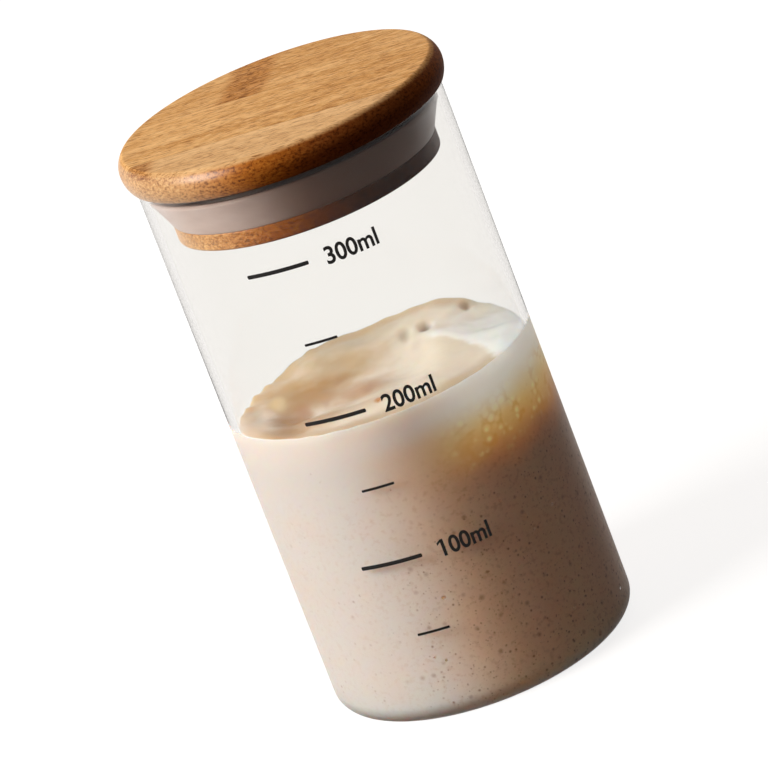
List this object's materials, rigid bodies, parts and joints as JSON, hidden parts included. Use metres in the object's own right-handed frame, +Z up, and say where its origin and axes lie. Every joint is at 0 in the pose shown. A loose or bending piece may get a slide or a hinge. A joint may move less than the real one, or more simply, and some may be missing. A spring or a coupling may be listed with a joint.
{
  "type": "sourdough starter jar",
  "caption": "Straight glass jar of risen sourdough starter, closed by a plug lid turned from glued bamboo board with a silicone wiper seal.",
  "frame": {"origin": "centre of the jar's foot, on the surface that it stands on", "axes": "+Z up along the jar's axis; -Y is the side with the volume scale, as the picture is seen; +X to the right"},
  "size_m": [0.069, 0.069, 0.1265],
  "materials": {
    "glass": "clear borosilicate, polished",
    "starter": "smooth, moist flour paste with small bubbles",
    "silicone": "translucent white, satin",
    "bamboo": "oiled, fine straight grain"
  },
  "bodies": {
    "jar": {"glass_jar": "glass", "starter": "starter"},
    "seal": {"seal_ring": "silicone"},
    "lid": {"top_strip_front": "bamboo", "top_strip_middle": "bamboo", "top_strip_back": "bamboo", "core_strip_right": "bamboo", "core_strip_middle": "bamboo", "core_strip_left": "bamboo", "lip_strip_front": "bamboo", "lip_strip_middle": "bamboo", "lip_strip_back": "bamboo"}
  },
  "joints": [
    {"name": "lid_lift", "type": "slide", "parent": "jar", "child": "seal", "axis": [0, 0, 1], "range_m": [0, 0.06]},
    {"name": "lid_turn", "type": "hinge", "parent": "seal", "child": "lid", "pos_m": [0, 0, 0.1135], "axis": [0, 0, 1], "continuous": true}
  ]
}
